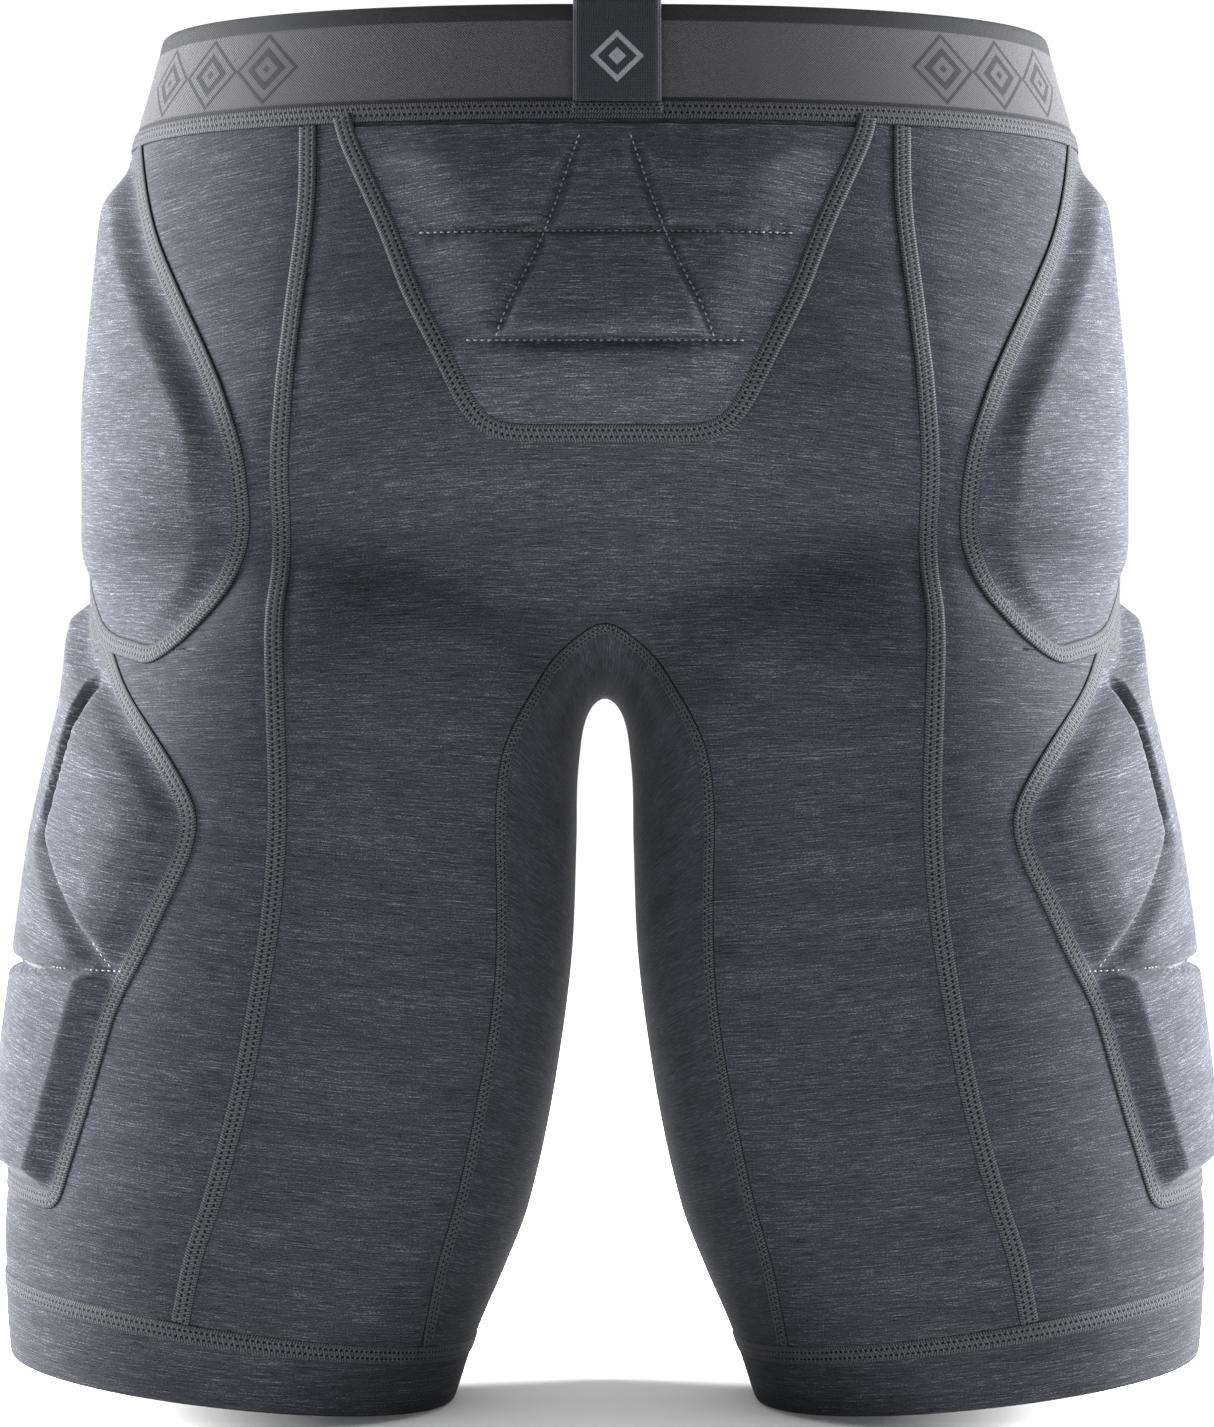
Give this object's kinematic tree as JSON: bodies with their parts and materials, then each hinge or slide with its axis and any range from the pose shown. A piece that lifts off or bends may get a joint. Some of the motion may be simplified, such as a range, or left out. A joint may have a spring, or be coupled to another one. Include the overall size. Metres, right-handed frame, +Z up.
{
  "type": "padded impact shorts",
  "caption": "Close-fitting knitted shorts in worn shape with sewn-in foam pads at the tailbone, hips and thighs, an elastic waistband and a hanging loop.",
  "frame": {"origin": "middle of the garment's width and depth, at the lowest point of the hems", "axes": "+Z up to the waistband, the back of the shorts faces -Y, +X is the wearer's right"},
  "size_m": [0.4272, 0.2368, 0.4742],
  "materials": {
    "body_knit": "heathered stretch knit, matt",
    "pad_knit": "heathered stretch knit over foam, matt",
    "foam": "closed-cell foam, matt",
    "lining": "thin mesh lining, matt",
    "elastic": "woven elastic, matt",
    "webbing": "woven tape, matt",
    "seam_thread": "flat-lock thread, matt"
  },
  "bodies": {
    "root": {"back_panel": "body_knit", "back_seam_l": "seam_thread", "back_seam_r": "seam_thread", "front_panel": "body_knit", "front_seam_l": "seam_thread", "front_seam_r": "seam_thread", "gusset": "body_knit", "gusset_seam_back": "seam_thread", "gusset_seam_front": "seam_thread", "hang_loop": "webbing", "hem_band_l": "body_knit", "hem_band_r": "body_knit", "hem_seam_l": "seam_thread", "hem_seam_r": "seam_thread", "hip_pad_cover_l": "pad_knit", "hip_pad_cover_r": "pad_knit", "hip_pad_foam_l": "foam", "hip_pad_foam_r": "foam", "hip_pad_lining_l": "lining", "hip_pad_lining_r": "lining", "hip_pad_seam_l": "seam_thread", "hip_pad_seam_r": "seam_thread", "side_panel_l": "body_knit", "side_panel_r": "body_knit", "tailbone_cover": "pad_knit", "tailbone_foam_bottom": "foam", "tailbone_foam_middle_c": "foam", "tailbone_foam_middle_l": "foam", "tailbone_foam_middle_r": "foam", "tailbone_foam_upper_c": "foam", "tailbone_foam_upper_l": "foam", "tailbone_foam_upper_r": "foam", "tailbone_seam": "seam_thread", "thigh_foam_back_l": "foam", "thigh_foam_back_r": "foam", "thigh_foam_centre_l": "foam", "thigh_foam_centre_r": "foam", "thigh_foam_front_l": "foam", "thigh_foam_front_r": "foam", "thigh_foam_lower_l": "foam", "thigh_foam_lower_r": "foam", "thigh_pad_cover_l": "pad_knit", "thigh_pad_cover_r": "pad_knit", "thigh_pad_lining_l": "lining", "thigh_pad_lining_r": "lining", "thigh_pad_seam_l": "seam_thread", "thigh_pad_seam_r": "seam_thread", "waist_seam": "seam_thread", "waistband": "elastic"}
  },
  "joints": []
}
